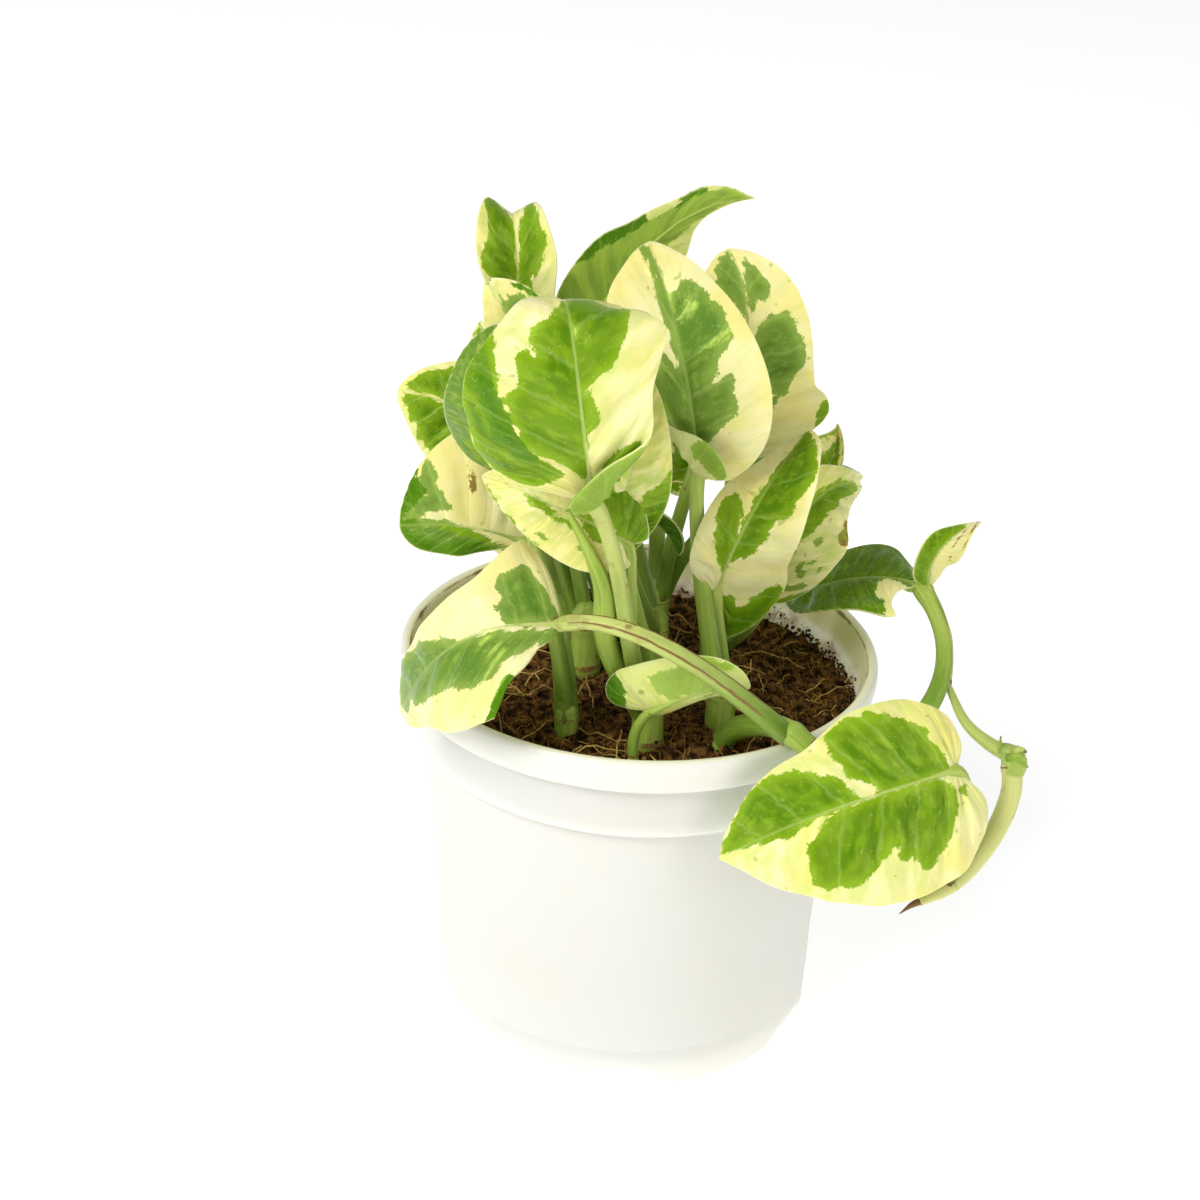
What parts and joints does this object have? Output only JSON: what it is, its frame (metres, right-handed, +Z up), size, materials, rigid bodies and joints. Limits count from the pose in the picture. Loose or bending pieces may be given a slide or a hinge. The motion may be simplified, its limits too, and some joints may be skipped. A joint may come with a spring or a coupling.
{
  "type": "potted pothos plant",
  "caption": "Variegated pothos with cream and green heart-shaped leaves and a short trailing vine, in a white plastic nursery pot with a rolled rim and a notched foot.",
  "frame": {"origin": "middle of the whole plant's footprint, on the surface that the pot stands on", "axes": "+Z up, +X to the right and +Y to the back as seen in the picture"},
  "size_m": [0.1704, 0.1594, 0.2326],
  "materials": {
    "pot_plastic": "warm white moulded plastic, lightly worn, soil stains at the rim",
    "soil": "dark brown coir potting mix with fibres",
    "leaf": "waxy leaf, cream and green variegation, pale green stalks"
  },
  "bodies": {
    "root": {"pot": "pot_plastic", "soil": "soil", "front_shoot": "leaf", "right_shoot": "leaf", "left_back_shoot": "leaf", "left_shoot": "leaf", "top_shoot": "leaf", "right_back_shoot": "leaf", "back_left_shoot": "leaf", "back_shoot": "leaf", "low_leaf": "leaf", "trailing_vine": "leaf"}
  },
  "joints": []
}
